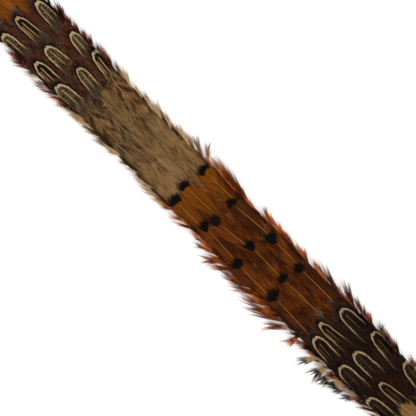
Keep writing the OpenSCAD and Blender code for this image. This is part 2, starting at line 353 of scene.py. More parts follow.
# %% Grow one feather into a mesh
def grow(mesh, marks, feather, place, cell, flip):
    """Adds the barbs and the shaft of a feather. place() takes a flat point to the plume."""
    flat_mark, barb_mark, bake_map = marks
    rows, half = feather.barbs, len(STEPS) - 1
    grid = bmesh.ops.create_grid(mesh, x_segments=2 * half, y_segments=rows, size=1.0)
    spots = {v: (round((v.co.x + 1) * half) - half, round((v.co.y + 1) / 2 * rows))
             for v in grid["verts"]}
    faces = list({f for v in grid["verts"] for f in v.link_faces})
    row_of = {f: min(spots[v][1] for v in f.verts) for f in faces}
    loose = []
    for edge in {e for v in grid["verts"] for e in v.link_edges}:
        (step_a, row_a), (step_b, row_b) = spots[edge.verts[0]], spots[edge.verts[1]]
        if row_a == row_b and 0 < row_a < rows:
            middle = (STEPS[abs(step_a)] + STEPS[abs(step_b)]) / 2
            waver = 0.13 * math.sin(row_a * 1.7 + feather.tone * 9)
            if middle > feather.hooked + waver:
                loose.append(edge)
    before = {f: [spots[v] for v in f.verts] for f in faces}
    bmesh.ops.split_edges(mesh, edges=loose)
    place_of = {}
    for face in faces:
        for vert, spot in zip(face.verts, before[face]):
            place_of.setdefault(vert, (spot, set()))[1].add(row_of[face])
    flat_of = {}
    for vert, ((step, line), on_rows) in place_of.items():
        side = -1 if step < 0 else 1
        u = STEPS[abs(step)]
        free = max(0.0, (u - feather.hooked) / (1 - feather.hooked))
        row, turn, long, up = float(line), 0.0, 1.0, 0.0
        if len(on_rows) == 1:
            barb = next(iter(on_rows))
            middle, turn, long, up = feather.tufts[side][barb]
            single = barb + 0.5
            row += (single - row) * 0.6 * free ** 1.5
            row += (middle - row) * feather.gather * free ** 1.3
            turn, up = turn * free, up * free * free
            long = 1 + (long - 1) * free
        nominal = feather.barb(side, line, u)
        x, y = feather.barb(side, row, u, turn, long)
        hump = feather.camber * (1 - (y / feather.width) ** 2)
        vert.co = place(x, y, hump + up)
        vert[flat_mark] = Vector(((feather.length - nominal[0]) / MM, nominal[1] / MM, 0))
        vert[barb_mark] = Vector((line, u, feather.tone))
        flat_of[vert] = nominal
    add_bake(faces, flat_of, bake_map, cell)
    rod = grow_shaft(mesh, marks, feather, place, cell, flip)
    if flip:
        bmesh.ops.reverse_faces(mesh, faces=faces)
    for face in faces:
        face.smooth = True
    return rod


def add_bake(faces, flat_of, bake_map, cell):
    """Each feather has a cell of its own in the OFBake map."""
    left, low, wide, high = cell
    longest = max(x for x, y in flat_of.values())
    widest = max(abs(y) for x, y in flat_of.values())
    for face in faces:
        for loop in face.loops:
            x, y = flat_of[loop.vert]
            across = CELL_EDGE + CELL_LENGTH * x / longest
            up = BARBS_MIDDLE + BARBS_HALF * y / widest
            loop[bake_map].uv = (left + across * wide, low + up * high)


def grow_shaft(mesh, marks, feather, place, cell, flip):
    """The shaft: a thin rod, pointed at both ends, rolled up from a narrow grid."""
    flat_mark, barb_mark, bake_map = marks
    length = feather.shaft_length * 1.02
    sides, joints = 4, 9
    grid = bmesh.ops.create_grid(mesh, x_segments=joints, y_segments=sides, size=0.5)
    faces = {f for v in grid["verts"] for f in v.link_faces}
    left, low, wide, high = cell
    for face in faces:
        face.smooth = True
        for loop in face.loops:
            t, turn = loop.vert.co.x + 0.5, loop.vert.co.y + 0.5
            across, up = CELL_EDGE + CELL_LENGTH * t, CELL_EDGE + STRIP * turn
            loop[bake_map].uv = (left + across * wide, low + up * high)
    for vert in grid["verts"]:
        t, turn = vert.co.x + 0.5, (vert.co.y + 0.5) * math.tau
        thick = feather.shaft * (1 - 0.7 * t) if 0.01 < t < 0.99 else 0.0
        y, up = thick * math.sin(turn), thick * math.cos(turn)
        vert.co = place(t * length, y, feather.camber + up * 0.8 + feather.shaft * 0.35)
        vert[flat_mark] = Vector(((feather.length - t * length) / MM, 0, 1))
        vert[barb_mark] = Vector((0, 0, feather.tone))
    if flip:
        bmesh.ops.reverse_faces(mesh, faces=list(faces))
    return grid["verts"]


print("feather grower ready")

# %% [markdown]
# ## Three kinds of feather
# The plume repeats three patterns. Window feathers are near black with a cream arch inside the
# edge and a chestnut fringe. Copper feathers end in a blue-black spot. Buff feathers carry dark
# chevrons. All the patterns are drawn in millimetres back from the feather's tip and out from its
# shaft, so that they keep their size on a large and a small feather.


# %% What every feather material starts from
class Plumage(Finish):
    """A finish that knows where it is on a feather."""

    def __init__(self, name):
        super().__init__(name)
        flat = self.node("ShaderNodeAttribute", {"attribute_name": "flat"}, out=1)
        barb = self.node("ShaderNodeAttribute", {"attribute_name": "barb"}, out=1)
        self.back, self.side, self.is_shaft = self.split(flat)
        self.row, self.along, tone = self.split(barb)
        self.plain = tone.step(0.999, 1.001)
        self.loose = tone.step(1.999, 2.001)
        self.tone = tone.part()
        self.second = (self.tone * 7.31).part()
        self.third = (self.tone * 23.7).part()
        self.out = abs(self.side)
        self.own = self.tone * 91.0
        self.streak = self.noise(self.row * 0.8, self.along * 0.9, self.own, 3.0)
        self.fine = self.noise(self.row * 3.3, self.along * 1.3, self.own)
        self.wobble = self.noise(self.back * 0.5, self.side * 0.5, self.own)
        place = self.node("ShaderNodeTexCoord", out=3)
        self.here = self.split(place)[0] * 1000.0
        # each barb of the mesh stands for a few hairs, which end one by one in fine points
        hair = self.row * 4.0 + 0.5
        self.each = self.chance(self.join(hair.whole(), self.side.step(-0.01, 0.01), self.own))
        self.ridge = 1 - abs(hair.part() * 2 - 1)
        full = 0.62 + self.each * 0.16 - self.plain * 0.12 - self.loose * 0.04
        taper = (self.along - full) / (0.24 + self.plain * 0.1 + self.loose * 0.12)
        self.cover = (self.ridge - taper).step(-0.05, 0.1).high(self.is_shaft)

    def streaked(self, light, dark):
        """One colour that goes over to another in streaks along the barbs."""
        return self.blend(self.streak.step(0.3, 0.7), light, dark)

    def feathered(self, colour, roughness=0.6, contrast=1.0, calm=0.0):
        """Adds the fine light and dark lines of the barbs, except where calm is 1, and ridges. The
        lines are partly the hairs' own tone, partly painted shade in the grooves and painted sheen
        on the ridges.
        """
        lines = (self.fine - 0.5) * 1.1 + (self.each - 0.5) * 0.4
        # dark lines: partly darker hairs, partly painted shade in the grooves of the bump
        dark_hairs_and_shade = self.blend((0 - lines).step(-0.1, 0.6) * (0.75 * contrast), colour,
                            (0.0, 0.0, 0.0, 1.0))
        # light lines: partly paler hairs, partly painted sheen on the ridges of the bump
        light = lines.step(0.05, 0.6) * (1 - calm) * (0.14 * contrast)
        hairs_and_sheen = self.blend(light, dark_hairs_and_shade, tint(214, 150, 84))
        height = self.ridge * 0.4 + self.fine * 0.6
        return self.surface(
            Base_Color=hairs_and_sheen, Roughness=roughness + (self.streak - 0.5) * 0.2,
            Specular_IOR_Level=0.03, Alpha=self.cover,
            Normal=self.bump(height, 0.6, 0.00012))


# %% Window feather: a cream arch on black
def window_finish():
    f = Plumage("window_feather")
    jitter = (f.wobble - 0.5) * 0.22 + (f.fine - 0.5) * 0.12
    centre = 9.0 + f.second * 1.6
    notch = f.out.step(0.5, 0.0) * 0.12
    nose = ((centre - f.back).high(0.0) / 5.0 + notch) ** 1.8
    splay = (f.back - 6.0).high(0.0) * 0.035
    flank = (f.out / (1.75 + f.third * 0.85 + splay)) ** 2.0
    arch = (nose + flank).root() + jitter
    band = arch.step(0.73, 0.8) * arch.step(1.02, 0.95) * (1 - f.plain)
    outline = arch.step(0.97, 1.02)
    fringe = arch.step(1.14, 1.36)
    # fine squiggles inside the arch, or a brown streak beside the shaft
    mottle = f.noise(f.back * 1.3, f.side * 1.9, f.own, 2.5, 0.6, 1.5)
    squiggle = mottle.step(0.5, 0.54) * f.second.step(0.42, 0.5)
    squiggle = squiggle * arch.step(0.78, 0.7) * f.back.step(17.5, 12.0)
    streak = abs(f.side - 1.2).step(0.42, 0.24) * f.back.step(8.4, 9.6)
    streak = streak * f.second.step(0.45, 0.4) * f.back.step(16.5, 14.5)
    line = f.out.step(0.26, 0.12) * f.back.step(7.6, 8.6)
    line = line.high(f.is_shaft * f.back.step(7.4, 8.4))
    inside = f.blend(f.streak.step(0.4, 0.75), tint(9, 7, 5), tint(30, 22, 14))
    inside = f.blend(squiggle * 0.85, inside, tint(140, 114, 76))
    inside = f.blend(streak, inside, tint(140, 100, 58))
    cream = f.streaked(tint(204, 184, 146), tint(158, 132, 94))
    cream = f.blend(f.back.step(8.0, 16.0) * 0.6, cream, tint(160, 118, 66))
    cream = f.blend(f.tone.step(0.5, 1.0) * 0.5, cream, tint(150, 116, 72))
    cream = f.blend(f.here.step(-18.0, -32.0) * 0.4, cream, tint(112, 84, 56))
    colour = f.blend(line, inside, tint(188, 160, 112))
    colour = f.blend(band, colour, cream)
    ring = f.blend(f.third.step(0.45, 0.6), tint(12, 10, 8), tint(9, 20, 16))
    colour = f.blend(outline, colour, ring)
    chestnut = f.streaked(tint(92, 40, 24), tint(44, 20, 16))
    brown = f.streaked(tint(88, 64, 46), tint(44, 29, 21))
    maroon = f.streaked(tint(66, 27, 23), tint(28, 12, 12))
    rim = f.blend(f.third.step(0.35, 0.5), chestnut, maroon)
    rim = f.blend(f.wobble.step(0.42, 0.58) * f.third.step(0.15, 0.5), rim, brown)
    rim = f.blend(f.wobble.step(0.6, 0.7) * f.second.step(0.6, 0.7), rim, tint(128, 62, 26))
    rim = f.blend(f.along.step(0.6, 1.0) * (0.35 + f.plain * 0.4), rim, tint(160, 112, 90))
    colour = f.blend(fringe.high(f.plain), colour, rim)
    base = f.back.step(13.5, 18.0)
    colour = f.blend(base, colour, f.blend(f.streak, tint(36, 27, 19), tint(92, 72, 52)))
    deep = f.here.step(10.0, -16.0) * 0.58 + f.here.step(-20.0, -36.0) * 0.3
    deep = deep + f.here.step(98.0, 116.0) * 0.26
    colour = f.blend(deep * (1 - band), colour, tint(15, 6, 5))
    # loose tufts are rust with pale ends, black with cream roots, or pale down
    rust = f.blend(f.back.step(7.5, 5.0), tint(62, 28, 20), tint(134, 66, 40))
    rust = f.blend(f.back.step(5.4, 2.2), rust, tint(200, 150, 126))
    soot = f.blend(f.back.step(9.8, 12.0), tint(26, 15, 10), tint(170, 140, 98))
    tuft = f.blend(f.tone.step(0.4, 0.5), rust, soot)
    tuft = f.blend(f.tone.step(0.7, 0.8), tuft, tint(202, 184, 160))
    return f.feathered(f.blend(f.loose, colour, tuft))


# %% Copper feather: rust with a blue-black spot at the tip
def copper_finish():
    f = Plumage("copper_feather")
    ragged = (f.each - 0.5) * 0.16 + (f.wobble - 0.5) * 0.9
    wide = 3.5 + f.second * 0.8 - f.back * 0.5
    spot = (f.out / wide.high(0.3)).high(f.back / (3.9 + f.tone * 2.2))
    spot = (spot + ragged).step(1.1, 1.0) * f.third.step(0.96, 0.9) * (1 - f.plain)
    patch = f.noise(f.back * 0.14, f.side * 0.3, f.own)
    bright = f.here.step(26.0, 58.0) * 0.72
    rust = f.blend(patch.step(0.36, 0.64), tint(100, 46, 5), tint(56, 22, 3))
    rust = f.blend(bright, rust, tint(142, 76, 10))
    rust = f.blend(f.streak.step(0.42, 0.72) * 0.6, rust, tint(40, 15, 4))
    rust = f.blend(f.fine.step(0.58, 0.75) * 0.4, rust, tint(160, 86, 24))
    rust = f.blend(f.second.step(0.6, 0.9) * 0.6, rust, tint(50, 20, 8))
    pale = f.along.step(0.6, 1.0) * f.out.step(3.0, 6.5)
    pale = (pale * 0.7).high(f.plain * f.along.step(0.45, 1.0) * 0.8)
    rust = f.blend(pale, rust, tint(186, 106, 50))
    line = f.out.step(0.2, 0.08).high(f.is_shaft) * f.back.step(4.6, 8.5) * (1 - f.plain)
    colour = f.blend(line * 0.7, rust, tint(170, 112, 48))
    colour = f.blend(spot, colour, f.blend(f.fine, tint(5, 4, 4), tint(12, 10, 10)))
    down = f.back.step(20.0, 24.0)
    colour = f.blend(down, colour, tint(80, 66, 52))
    # loose tufts are orange flames or maroon, both with pale ends
    flame = f.blend(f.back.step(9.5, 6.0), tint(104, 46, 8), tint(176, 88, 28))
    flame = f.blend(f.back.step(6.0, 2.2), flame, tint(218, 152, 98))
    maroon = f.blend(f.back.step(6.5, 2.2), tint(82, 34, 17), tint(172, 106, 76))
    tuft = f.blend(f.tone.step(0.4, 0.5), flame, maroon)
    colour = f.blend(f.loose, colour, tuft)
    return f.feathered(colour, roughness=0.5, contrast=0.95, calm=spot)


# %% Buff feather: sandy barbs with dark chevrons
def buff_finish():
    f = Plumage("buff_feather")
    sand = f.streaked(tint(134, 103, 64), tint(82, 57, 34))
    sand = f.blend(f.second.step(0.55, 0.95) * 0.6, sand, tint(118, 76, 40))
    sand = f.blend(f.third.step(0.6, 0.95) * 0.5, sand, tint(108, 92, 66))
    sand = f.blend(f.here.step(84.0, 64.0) * 0.5, sand, tint(146, 112, 68))
    cloud = f.noise(f.back * 0.16, f.side * 0.45, f.own, 3.0, 0.6)
    sand = f.blend(cloud.step(0.5, 0.68) * 0.7, sand, tint(74, 50, 31))
    sand = f.blend(cloud.step(0.42, 0.3) * 0.5, sand, tint(158, 128, 86))
    slope = f.back - f.out * 1.75 + (f.wobble - 0.5) * 2.4 + (f.each - 0.5) * 0.5
    first = abs(slope - 2.6 - f.third * 1.5).step(2.2, 1.3)
    later = abs(slope - 10.0 - f.third * 1.5).step(1.9, 1.0)
    marks = first.high(later * 0.8) * f.out.step(0.1, 0.4) * f.out.step(3.6, 2.2)
    marks = marks * f.second.step(0.12, 0.3) * (0.5 + 0.5 * f.streak.step(0.3, 0.55))
    marks = marks * (0.25 + 0.75 * f.here.step(62.0, 92.0))
    line = f.out.step(0.24, 0.1).high(f.is_shaft)
    colour = f.blend(marks, sand, tint(48, 28, 16))
    colour = f.blend(line * 0.45, colour, tint(160, 126, 80))
    pale = f.along.step(0.55, 1.0) * f.out.step(2.5, 6.0)
    colour = f.blend(pale * 0.6, colour, tint(172, 140, 106))
    # loose tufts are cream or a pinkish brown
    tuft = f.blend(f.tone.step(0.4, 0.5), tint(184, 152, 108), tint(140, 104, 84))
    tuft = f.blend(f.back.step(6.5, 2.5) * 0.7, tuft, tint(214, 194, 168))
    colour = f.blend(f.loose, colour, tuft)
    return f.feathered(colour, roughness=0.7, contrast=0.8)


finishes = {"window": window_finish(), "copper": copper_finish(), "buff": buff_finish()}
print("feather finishes:", ", ".join(finishes))

# %% [markdown]
# ## Dressing the plume
# Each course is one piece with three clear columns on each face, plain feathers tucked between
# them, and looser feathers along both edges whose barbs make the fringe. The order of heights is
# the order in which they would be glued: under-feathers first, edges next, columns last.

# %% Lay one feather on the body
RISE = 0.04
COLUMN = 8.0 * MM
HUG = 12.0 * MM
FLOOR_GAP = 0.15 * MM


def layer(x0, around0, yaw, height, face, hug, droop=0.0, sway=0.0, rise=RISE):
    """Returns place(), which takes a flat point to the plume. Past hug the feather droops."""
    turn, tilt = math.cos(yaw), math.sin(yaw)

    def place(x, y, up):
        along = x * turn - y * tilt
        around = around0 + x * tilt + y * turn + sway * (x / FEATHER_L) ** 2
        held = max(-hug, min(hug, around))
        spot, outward = on_body(x0 + along, held, height + rise * x + up, face)
        past = abs(around) - abs(held)
        spot = spot + outward * past
        spot.z -= face * droop * past * past
        spot.z = max(spot.z, FLOOR_GAP)
        return spot

    return place


def kind_of(course):
    """The kind of feather in a course; the tuft at the tip is copper."""
    kind = course.split("_")[0]
    return "copper" if kind == "tip" else kind


# %% Make a piece out of many feathers
def bake_cells(jobs):
    """A rectangle of the bake map for each feather: the ones with a pattern get the larger."""
    main = [k for k, job in enumerate(jobs) if job[0].sort == PATTERNED]
    rest = [k for k in range(len(jobs)) if k not in main]
    cells, low = {}, 0.0
    for group, columns, share in ((main, 2, 0.62 if rest else 1.0), (rest, 4, 1.0)):
        if group:
            line = (share - low) / math.ceil(len(group) / columns)
            for n, k in enumerate(group):
                left = n % columns / columns
                cells[k] = (left, low + n // columns * line, 1 / columns, line)
            low = share
    return cells


def feather_piece(name, kind, jobs, node=None):
    """One piece of many feathers. jobs: (feather, place, face) of each, the lowest first."""
    mesh = bmesh.new()
    marks = (mesh.verts.layers.float_vector.new("flat"),
             mesh.verts.layers.float_vector.new("barb"),
             mesh.loops.layers.uv.new("OFBake"))
    cells, rods = bake_cells(jobs), []
    for k, (shape, place, face) in enumerate(jobs):
        rods += grow(mesh, marks, shape, place, cells[k], face < 0)
    bmesh.ops.remove_doubles(mesh, verts=rods, dist=SAME_SPOT)
    piece = add_object(name, mesh, finishes[kind])
    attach(piece, "handle")
    if node:
        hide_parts(node)
    return len(jobs), len(piece.data.polygons)


# %% Dress one course
# how far ahead of an even spacing a course was glued, in mm; those not listed are even
AHEAD = {"%s_course_%d" % (kind, k): mm
         for kind, row in (("window", (-2.0, -2.4, -4.0, 1.8, -2.6, -2.6)),
                           ("copper", (1.5, 1.6, 4.6, 3.2)))
         for k, mm in enumerate(row, 1)}
# window barbs stand out from the shaft; copper and buff barbs are longer and lie closer to it
BARBS = {"window": {"lean": 46, "bend": 0.62}, "copper": {"lean": 36, "bend": 0.8},
         "buff": {"lean": 34, "bend": 0.75}}
WIDTHS = {"window": 5.2 * MM, "copper": 6.0 * MM, "buff": 5.8 * MM}
FIRST_SEED, TUFT_SEED = 100, 7


def dress(course, index):
    """Grows all the feathers of a course: under-feathers, edges, then the three columns."""
    kind = kind_of(course)
    rng = random.Random(FIRST_SEED + index)
    start = base_x[course] + AHEAD.get(course, 0.0) * MM
    jobs = []
    for face in (1, -1):
        for slot in (-1.5, -0.5, 0.5, 1.5):
            shape = Feather(rng, width=WIDTHS[kind], barbs=30, hooked=0.55, spread=8,
                            sort=PLAIN, **BARBS[kind])
            place = layer(start - rng.uniform(4, 7) * MM, slot * COLUMN * 0.95,
                          rng.gauss(0, 0.05), 0.05 * MM, face, HUG)
            jobs.append((shape, place, face))
        for side in (-1, 1):
            for k in range(3):
                shape = Feather(rng, width=rng.uniform(4.8, 5.8) * MM, barbs=38, hooked=0.42,
                                gather=0.8, spread=7, ragged=0.25, lean=40, bend=0.55,
                                lopside=side * 0.08, lift=0.3 * MM, sort=PLAIN)
                yaw = side * math.radians(rng.uniform(1, 8))
                back = (k - 1) * PITCH / 3 + rng.uniform(-2, 2) * MM
                place = layer(start - back - 2 * MM, side * rng.uniform(6.2, 7.6) * MM, yaw,
                              0.2 * MM, face, rng.uniform(9.6, 11.2) * MM, droop=18)
                jobs.append((shape, place, face))
        for slot in (-1, 1, 0):
            shape = Feather(rng, width=WIDTHS[kind], hooked=0.74, **BARBS[kind])
            place = layer(start + (rng.uniform(-1.2, 1.2) - abs(slot) * 0.8) * MM,
                          slot * COLUMN + rng.uniform(-0.6, 0.6) * MM,
                          rng.gauss(0, 0.05), (0.75 + 0.12 * (slot == 0)) * MM,
                          face, HUG, sway=rng.gauss(0, 0.7) * MM)
            jobs.append((shape, place, face))
    return feather_piece(course + "_feathers", kind, jobs, course)


totals = [dress(course, index) for index, course in enumerate(COURSES)]
print("feathers:", sum(t[0] for t in totals), "faces:", sum(t[1] for t in totals))

# %% [markdown]
# ## Loose tufts
# Some barbs never lie down. They leave the edges as curved tufts: orange flames beside the copper
# courses, black spikes and pale down beside the window courses, and cream ones near the buff
# courses. The first list holds the tufts that stand out most; the rest are scattered.

# %% Lay the tufts
# place along the pen (mm), side (1 is +Y), angle out from the pen's line, length (mm), how much it
# fans out, kind, and the shade that picks its colour in that finish
TUFTS = [
    (54.0, 1, 18, 13.0, 3.0, "buff", 0.2), (50.5, 1, 24, 7.5, 2.2, "buff", 0.2),
    (101.0, 1, 28, 6.0, 2.2, "buff", 0.2), (60.0, -1, 28, 8.5, 2.4, "buff", 0.7),
    (54.0, -1, 56, 9.0, 1.4, "buff", 0.7), (57.0, -1, 38, 9.0, 2.2, "buff", 0.7),
    (64.5, -1, 24, 8.0, 2.2, "buff", 0.7), (97.0, -1, 24, 7.0, 2.2, "buff", 0.2),
    (101.6, -1, 24, 7.0, 2.2, "buff", 0.7), (106.8, -1, 14, 11.0, 2.6, "window", 0.2),
    (35.2, -1, 14, 17.0, 4.2, "copper", 0.2), (30.2, -1, 17, 12.0, 3.4, "copper", 0.2),
    (11.5, -1, 16, 9.5, 2.4, "copper", 0.7), (-13.5, -1, 24, 8.5, 1.8, "copper", 0.7),
    (-22.0, -1, 20, 14.0, 3.0, "copper", 0.7), (27.9, 1, 42, 8.5, 2.0, "copper", 0.7),
    (20.8, 1, 52, 11.0, 2.4, "copper", 0.2), (17.0, 1, 52, 10.0, 2.2, "copper", 0.2),
    (5.9, 1, 27, 14.0, 3.6, "copper", 0.7), (-5.0, 1, 34, 12.0, 2.6, "copper", 0.2),
    (1.5, 1, 30, 13.0, 3.2, "copper", 0.2), (-9.5, 1, 38, 14.0, 3.0, "copper", 0.2),
    (-17.0, 1, 52, 13.0, 3.0, "copper", 0.2), (33.0, -1, 22, 15.0, 3.8, "copper", 0.2),
    (-14.0, 1, 36, 15.0, 3.2, "copper", 0.2), (-20.5, 1, 86, 8.5, 2.8, "copper", 0.2),
    (-29.5, -1, 34, 12.0, 2.8, "window", 0.2), (-34.7, -1, 30, 9.5, 2.6, "window", 0.2),
    (-38.5, -1, 42, 6.0, 2.4, "window", 0.2), (-43.7, -1, 56, 4.5, 2.4, "window", 0.9),
    (-48.0, -1, 34, 6.0, 2.0, "window", 0.9), (-53.0, -1, 22, 8.5, 2.0, "window", 0.6),
    (-32.4, 1, 68, 11.5, 3.4, "window", 0.6), (-37.5, 1, 82, 10.5, 3.4, "window", 0.6),
    (-41.9, 1, 78, 10.0, 3.2, "window", 0.6), (-46.0, 1, 72, 10.0, 3.2, "window", 0.6),
    (-50.0, 1, 66, 9.5, 3.4, "window", 0.6), (-56.0, 1, 56, 9.5, 3.2, "window", 0.6),
    (-35.0, 1, 78, 4.5, 2.4, "window", 0.9), (-44.0, 1, 76, 5.0, 2.6, "window", 0.9),
    (-48.5, 1, 66, 5.0, 2.6, "window", 0.9), (134.7, 1, 38, 5.5, 2.0, "window", 0.2),
    (131.0, 1, 38, 5.5, 2.0, "window", 0.2), (126.0, 1, 36, 5.0, 2.2, "window", 0.9),
    (118.0, 1, 38, 5.0, 2.2, "window", 0.9), (113.3, 1, 38, 5.0, 2.0, "window", 0.2),
]
SHADES = {"window": (0.2, 0.2, 0.6, 0.9), "copper": (0.2, 0.2, 0.7), "buff": (0.2, 0.7)}
# scattered tufts under the edge feathers and over them
UNDER, OVER = 120, 190
# a tuft's root is this far from the middle, and further by one of the three below
EDGE = 9.3 * MM
UNDER_EDGE, STANDS_OUT, OVER_EDGE = 2.4 * MM, 2.7 * MM, 1.1 * MM
LOW, HIGH = 0.2, 1.2
ROOT_LENGTH = 3.0


def edge_kind(x):
    """The kind of the course whose feather tips are nearest beyond x."""
    near = min(COURSES, key=lambda c: abs(tip_x[c] - PITCH / 2 - x))
    return kind_of(near)


rng = random.Random(TUFT_SEED)
tufts = [t + ((1, -1)[k % 3 == 2], STANDS_OUT, LOW) for k, t in enumerate(TUFTS)]
span = (base_x[COURSES[1]] / MM, tip_x["copper_course_5"] / MM)
for k in range(UNDER + OVER):
    x = rng.uniform(*span)
    kind = edge_kind(x * MM)
    over = k >= UNDER
    length = rng.uniform(5.0, 9.0) if over else rng.uniform(3.5, 8.0)
    shade = SHADES[kind][0] if over else rng.choice(SHADES[kind])
    tufts.append((x, rng.choice((-1, 1)), rng.uniform(14, 40), length, rng.uniform(1.4, 2.4),
                  kind, shade, rng.choice((-1, 1)), OVER_EDGE if over else UNDER_EDGE,
                  HIGH if over else LOW))
for kind in finishes:
    jobs = []
    for x, side, angle, length, width, tuft_kind, shade, face, root, height in tufts:
        if tuft_kind != kind:
            continue
        growth = 1.4 if root == STANDS_OUT else 1.15
        long = (length * growth + ROOT_LENGTH) * MM
        shape = Feather(rng, length=long, width=long * 0.32, barbs=14, hooked=0.2, gather=0.6,
                        spread=4, ragged=0.26, lean=10 + width * 60 / (length + 2.5), bend=0.8,
                        camber=0.1 * MM, lift=0.8 * MM, shaft=0.05 * MM, stem=0.4,
                        sort=LOOSE, shade=shade)
        place = layer(x * MM, side * (EDGE + root), side * math.radians(angle),
                      (height + rng.uniform(0.0, 0.8)) * MM, face, EDGE + OVER_EDGE, droop=-22,
                      sway=-side * length * 0.1 * MM, rise=0.06)
        jobs.append((shape, place, face))
    print(kind, "tufts:", feather_piece(kind + "_tufts", kind, jobs))

# %% [markdown]
# ## The writing end
# Metal, wood and leather follow the CAD closely, so most of those nodes keep their exact shapes
# and only get a finish. The turned brass and the wound thread are made again here, because their
# small rounded edges and the lay of the thread are what the eye looks for.

# %% Finishes of the hard parts
def from_axis(f):
    """Distances in mm along the pen and across it, from the pen's axis."""
    x, y, z = f.split(f.node("ShaderNodeTexCoord", out=3))
    return x * 1000.0, y * 1000.0, (z - AXIS_Z) * 1000.0


def steel_finish():
    f = Finish("nib_steel")
    x, y, z = from_axis(f)
    drawn = f.noise(x * 0.4, y * 9.0, z * 9.0, 3.0)
    cloud = f.noise(x * 0.25, y * 0.5, z * 0.5, 3.0)
    colour = f.blend(cloud.step(0.3, 0.7), tint(170, 172, 176), tint(140, 143, 150))
    point = f.blend(x.step(-180.0, -190.5) * 0.7, colour, tint(82, 84, 96))
    return f.surface(Base_Color=point, Metallic=1.0, Roughness=0.2 + drawn * 0.18,
                     Normal=f.bump(drawn, 0.15, 0.00002))


def brass_finish():
    f = Finish("turned_brass")
    x, y, z = from_axis(f)
    radius = (y ** 2.0 + z ** 2.0).root()
    turned = f.noise(x * 14.0, radius * 14.0, 0.0)
    cloud = f.noise(x * 0.3, y * 0.4, z * 0.4, 4.0, 0.65)
    colour = f.blend(cloud.step(0.35, 0.7), tint(206, 168, 92), tint(164, 124, 62))
    colour = f.blend(turned.step(0.55, 0.8) * 0.35, colour, tint(120, 86, 44))
    return f.surface(Base_Color=colour, Metallic=1.0, Roughness=0.2 + cloud * 0.22,
                     Normal=f.bump(turned, 0.25, 0.00002))


def walnut_finish():
    f = Finish("walnut")
    x, y, z = from_axis(f)
    bend = f.noise(x * 0.03, y * 0.25, z * 0.25, 3.0)
    rings = ((y * 0.9 + z * 0.5 + bend * 9.0) * 1.6).wave() * 0.5 + 0.5
    fibre = f.noise(x * 0.12, y * 5.0, z * 5.0, 4.0, 0.6)
    pores = f.noise(x * 0.5, y * 9.0, z * 9.0)
    colour = f.blend(rings, tint(112, 70, 42), tint(66, 39, 24))
    colour = f.blend(fibre.step(0.35, 0.7) * 0.6, colour, tint(52, 30, 19))
    pore = pores.step(0.62, 0.7)
    colour = f.blend(pore * 0.7, colour, tint(26, 15, 10))
    return f.surface(Base_Color=colour, Roughness=0.38 + fibre * 0.16, Coat_Weight=0.25,
                     Coat_Roughness=0.25, Normal=f.bump(0 - pore, 0.4, 0.00004))


def leather_finish():
    f = Finish("leather")
    x, y, z = from_axis(f)
    grain = f.noise(x * 4.0, y * 4.0, z * 4.0, 4.0, 0.7)
    colour = f.blend(grain.step(0.3, 0.7), tint(74, 42, 26), tint(46, 25, 15))
    return f.surface(Base_Color=colour, Roughness=0.5 + grain * 0.2,
                     Normal=f.bump(grain, 0.5, 0.00008))


def felt_finish():
    f = Finish("felt")
    x, y, z = from_axis(f)
    fuzz = f.noise(x * 6.0, y * 6.0, z * 6.0, 5.0, 0.75)
    colour = f.blend(fuzz.step(0.3, 0.7), tint(58, 45, 36), tint(32, 25, 20))
    return f.surface(Base_Color=colour, Roughness=0.95, Specular_IOR_Level=0.05,
                     Normal=f.bump(fuzz, 0.8, 0.0002))


def cane_finish():
    f = Finish("cane")
    x, y, z = from_axis(f)
    fibre = f.noise(x * 0.2, y * 8.0, z * 8.0, 3.0)
    colour = f.blend(fibre.step(0.35, 0.7), tint(190, 160, 112), tint(146, 112, 70))
    return f.surface(Base_Color=colour, Roughness=0.6, Normal=f.bump(fibre, 0.3, 0.00005))


def thread_finish():
    f = Finish("waxed_thread")
    wind = f.node("ShaderNodeAttribute", {"attribute_name": "wind"}, out=1)
    length, turn = f.split(wind)[:2]
    ply = ((length * 1.6 + turn * 2.0) * math.tau).wave() * 0.5 + 0.5
    fibre = f.noise(length * 1.2, turn * 14.0, 0.0, 3.0)
    # the colour darkens into the grooves between the plies: painted shade
    colour = f.blend(ply.step(0.0, 0.5), tint(42, 18, 12), tint(96, 46, 30))
    colour = f.blend(fibre.step(0.5, 0.8) * 0.4, colour, tint(140, 84, 58))
    return f.surface(Base_Color=colour, Roughness=0.42 + fibre * 0.2,
                     Normal=f.bump(ply * 0.8 + fibre * 0.2, 0.7, 0.00008))


hard = {"nib": steel_finish(), "brass": brass_finish(), "walnut": walnut_finish(),
        "leather": leather_finish(), "felt": felt_finish(), "cane": cane_finish(),
        "thread": thread_finish()}
KEPT = {"nib": "nib", "nib_core": "brass", "thread_bush": "brass", "washer": "leather",
        "grip": "walnut", "shaft": "cane", "upper_felt": "felt", "lower_felt": "felt"}
for node, finish in KEPT.items():
    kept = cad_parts[node]
    if not kept.material_slots:
        kept.data.materials.append(None)
    for slot in kept.material_slots:
        slot.material = hard[finish]
print("finished:", ", ".join(KEPT))

# %% [markdown]
# ### Turned brass
# A lathe leaves a profile swept once round an axis. Spin does the same with a row of edges, and
# a small bevel on the sharp rims gives them the thin bright line of a broken edge.

# %% Turn a profile
def ring_piece(name, mesh, body, slot, node):
    """A smooth piece of turned or wound work, in place of a CAD node."""
    piece = add_object(name, mesh, hard[slot])
    for face in piece.data.polygons:
        face.use_smooth = True
    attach(piece, body)
    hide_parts(node)


def outline(mesh, profile):
    """A closed loop of edges through (x, radius) points."""
    verts = [mesh.verts.new((x, 0, AXIS_Z + radius)) for x, radius in profile]
    return verts + [mesh.edges.new(pair) for pair in zip(verts, verts[1:] + verts[:1])]


